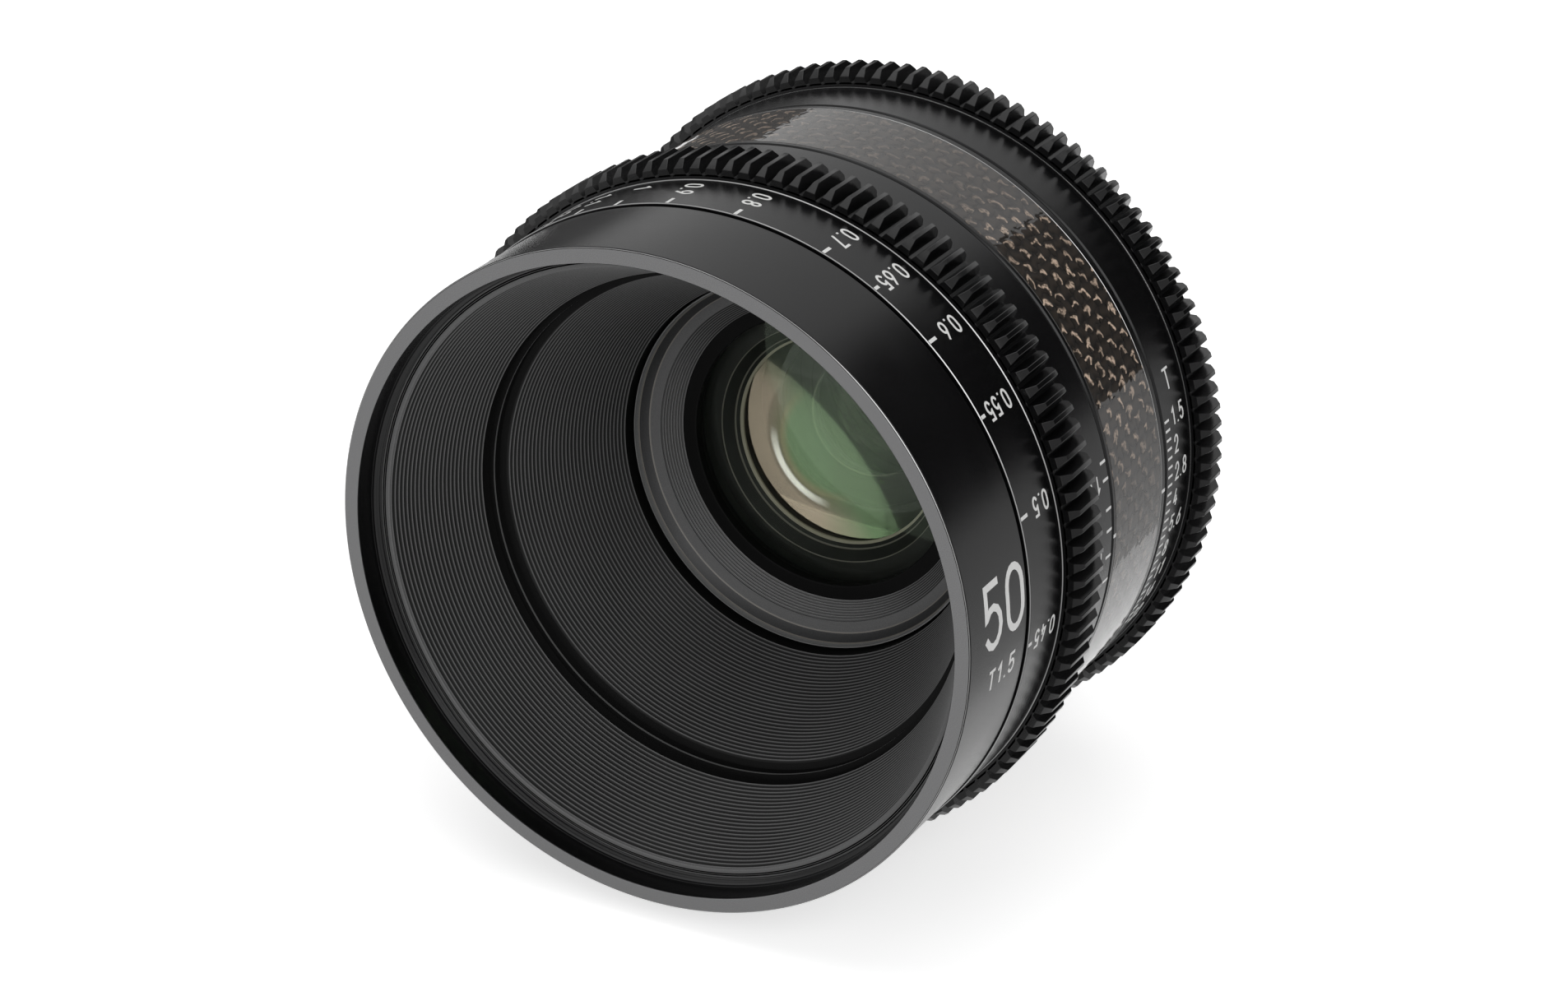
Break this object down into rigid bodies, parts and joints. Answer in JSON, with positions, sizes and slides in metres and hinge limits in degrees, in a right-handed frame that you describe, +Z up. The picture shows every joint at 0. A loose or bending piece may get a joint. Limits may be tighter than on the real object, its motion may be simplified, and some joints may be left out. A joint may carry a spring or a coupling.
{
  "type": "cinema prime lens",
  "caption": "Cinema prime lens: geared focus and iris rings, carbon sleeve, ridged front baffle, moving optics with an iris, and a four-lug rear camera mount.",
  "frame": {"origin": "centre of the camera mount's flange face, on the lens axis", "axes": "+Y along the lens axis towards the camera, so the lens looks along -Y; +Z up, +X the side that carries the index marks"},
  "size_m": [0.1008, 0.1, 0.1008],
  "materials": {
    "black_anodised": "satin black anodised",
    "matte_black": "matte black anodised, ridged against stray light",
    "carbon_fibre": "clear coated plain weave",
    "coated_glass": "polished, green and amber anti-reflection coating",
    "inner_aluminium": "black anodised, turned",
    "brass": "turned",
    "mount_steel": "turned stainless steel",
    "fastener_steel": "plain",
    "blade_steel": "blackened spring steel"
  },
  "bodies": {
    "barrel": {"front_ring": "black_anodised", "front_baffle": "matte_black", "rear_baffle": "matte_black", "main_barrel": "inner_aluminium", "focus_stop_pin": "fastener_steel", "fixed_sleeve": "black_anodised", "sleeve_screws": "fastener_steel", "carbon_sleeve": "carbon_fibre", "index_ring": "black_anodised", "rear_barrel": "black_anodised", "mount_shim": "brass", "camera_mount": "mount_steel", "mount_screws": "fastener_steel"},
    "focus": {"focus_ring": "black_anodised", "focus_cam": "brass"},
    "iris": {"iris_ring": "black_anodised"},
    "carrier": {"optics_carrier": "inner_aluminium", "cam_followers": "fastener_steel", "nose_ring": "matte_black", "front_cell": "matte_black", "front_retaining_ring": "matte_black", "glass_1": "coated_glass", "glass_2": "coated_glass", "glass_3": "coated_glass", "iris_housing": "matte_black", "housing_screws": "fastener_steel", "iris_cover": "matte_black", "rear_cell": "matte_black", "rear_cell_screws": "fastener_steel", "glass_4": "coated_glass", "glass_5": "coated_glass", "glass_6": "coated_glass", "glass_spacer": "matte_black", "glass_7": "coated_glass", "rear_retaining_ring": "matte_black"},
    "iris_cam": {"iris_cam_ring": "brass", "iris_link_pin": "fastener_steel"},
    "blade_01": {"iris_blade_01": "blade_steel"},
    "blade_02": {"iris_blade_02": "blade_steel"},
    "blade_03": {"iris_blade_03": "blade_steel"},
    "blade_04": {"iris_blade_04": "blade_steel"},
    "blade_05": {"iris_blade_05": "blade_steel"},
    "blade_06": {"iris_blade_06": "blade_steel"},
    "blade_07": {"iris_blade_07": "blade_steel"},
    "blade_08": {"iris_blade_08": "blade_steel"},
    "blade_09": {"iris_blade_09": "blade_steel"},
    "blade_10": {"iris_blade_10": "blade_steel"},
    "blade_11": {"iris_blade_11": "blade_steel"}
  },
  "joints": [
    {"name": "focus_turn", "type": "hinge", "parent": "barrel", "child": "focus", "pos_m": [0, 0, 0], "axis": [0, 1, 0], "range_deg": [-7, 193]},
    {"name": "optics_slide", "type": "slide", "parent": "barrel", "child": "carrier", "axis": [0, 1, 0], "range_m": [-0.00027, 0.00683]},
    {"name": "iris_turn", "type": "hinge", "parent": "barrel", "child": "iris", "pos_m": [0, 0, 0], "axis": [0, 1, 0], "range_deg": [-30, 12]},
    {"name": "iris_cam_turn", "type": "hinge", "parent": "carrier", "child": "iris_cam", "pos_m": [0, 0, 0], "axis": [0, 1, 0], "range_deg": [-30, 12]},
    {"name": "blade_01_swing", "type": "hinge", "parent": "carrier", "child": "blade_01", "pos_m": [0.025, -0.0388, 0], "axis": [0, 1, 0], "range_deg": [-20.96, 8.39]},
    {"name": "blade_02_swing", "type": "hinge", "parent": "carrier", "child": "blade_02", "pos_m": [0.02103, -0.0388, -0.01352], "axis": [0, 1, 0], "range_deg": [-20.96, 8.39]},
    {"name": "blade_03_swing", "type": "hinge", "parent": "carrier", "child": "blade_03", "pos_m": [0.01039, -0.0388, -0.02274], "axis": [0, 1, 0], "range_deg": [-20.96, 8.39]},
    {"name": "blade_04_swing", "type": "hinge", "parent": "carrier", "child": "blade_04", "pos_m": [-0.00356, -0.0388, -0.02475], "axis": [0, 1, 0], "range_deg": [-20.96, 8.39]},
    {"name": "blade_05_swing", "type": "hinge", "parent": "carrier", "child": "blade_05", "pos_m": [-0.01637, -0.0388, -0.01889], "axis": [0, 1, 0], "range_deg": [-20.96, 8.39]},
    {"name": "blade_06_swing", "type": "hinge", "parent": "carrier", "child": "blade_06", "pos_m": [-0.02399, -0.0388, -0.00704], "axis": [0, 1, 0], "range_deg": [-20.96, 8.39]},
    {"name": "blade_07_swing", "type": "hinge", "parent": "carrier", "child": "blade_07", "pos_m": [-0.02399, -0.0388, 0.00704], "axis": [0, 1, 0], "range_deg": [-20.96, 8.39]},
    {"name": "blade_08_swing", "type": "hinge", "parent": "carrier", "child": "blade_08", "pos_m": [-0.01637, -0.0388, 0.01889], "axis": [0, 1, 0], "range_deg": [-20.96, 8.39]},
    {"name": "blade_09_swing", "type": "hinge", "parent": "carrier", "child": "blade_09", "pos_m": [-0.00356, -0.0388, 0.02475], "axis": [0, 1, 0], "range_deg": [-20.96, 8.39]},
    {"name": "blade_10_swing", "type": "hinge", "parent": "carrier", "child": "blade_10", "pos_m": [0.01039, -0.0388, 0.02274], "axis": [0, 1, 0], "range_deg": [-20.96, 8.39]},
    {"name": "blade_11_swing", "type": "hinge", "parent": "carrier", "child": "blade_11", "pos_m": [0.02103, -0.0388, 0.01352], "axis": [0, 1, 0], "range_deg": [-20.96, 8.39]}
  ],
  "couplings": [
    {"joint": "optics_slide", "follows": "focus_turn", "m_per_rad": 0.0020213},
    {"joint": "iris_cam_turn", "follows": "iris_turn", "ratio": 1},
    {"joint": "blade_01_swing", "follows": "iris_turn", "ratio": 0.69786},
    {"joint": "blade_02_swing", "follows": "iris_turn", "ratio": 0.69786},
    {"joint": "blade_03_swing", "follows": "iris_turn", "ratio": 0.69786},
    {"joint": "blade_04_swing", "follows": "iris_turn", "ratio": 0.69786},
    {"joint": "blade_05_swing", "follows": "iris_turn", "ratio": 0.69786},
    {"joint": "blade_06_swing", "follows": "iris_turn", "ratio": 0.69786},
    {"joint": "blade_07_swing", "follows": "iris_turn", "ratio": 0.69786},
    {"joint": "blade_08_swing", "follows": "iris_turn", "ratio": 0.69786},
    {"joint": "blade_09_swing", "follows": "iris_turn", "ratio": 0.69786},
    {"joint": "blade_10_swing", "follows": "iris_turn", "ratio": 0.69786},
    {"joint": "blade_11_swing", "follows": "iris_turn", "ratio": 0.69786}
  ]
}
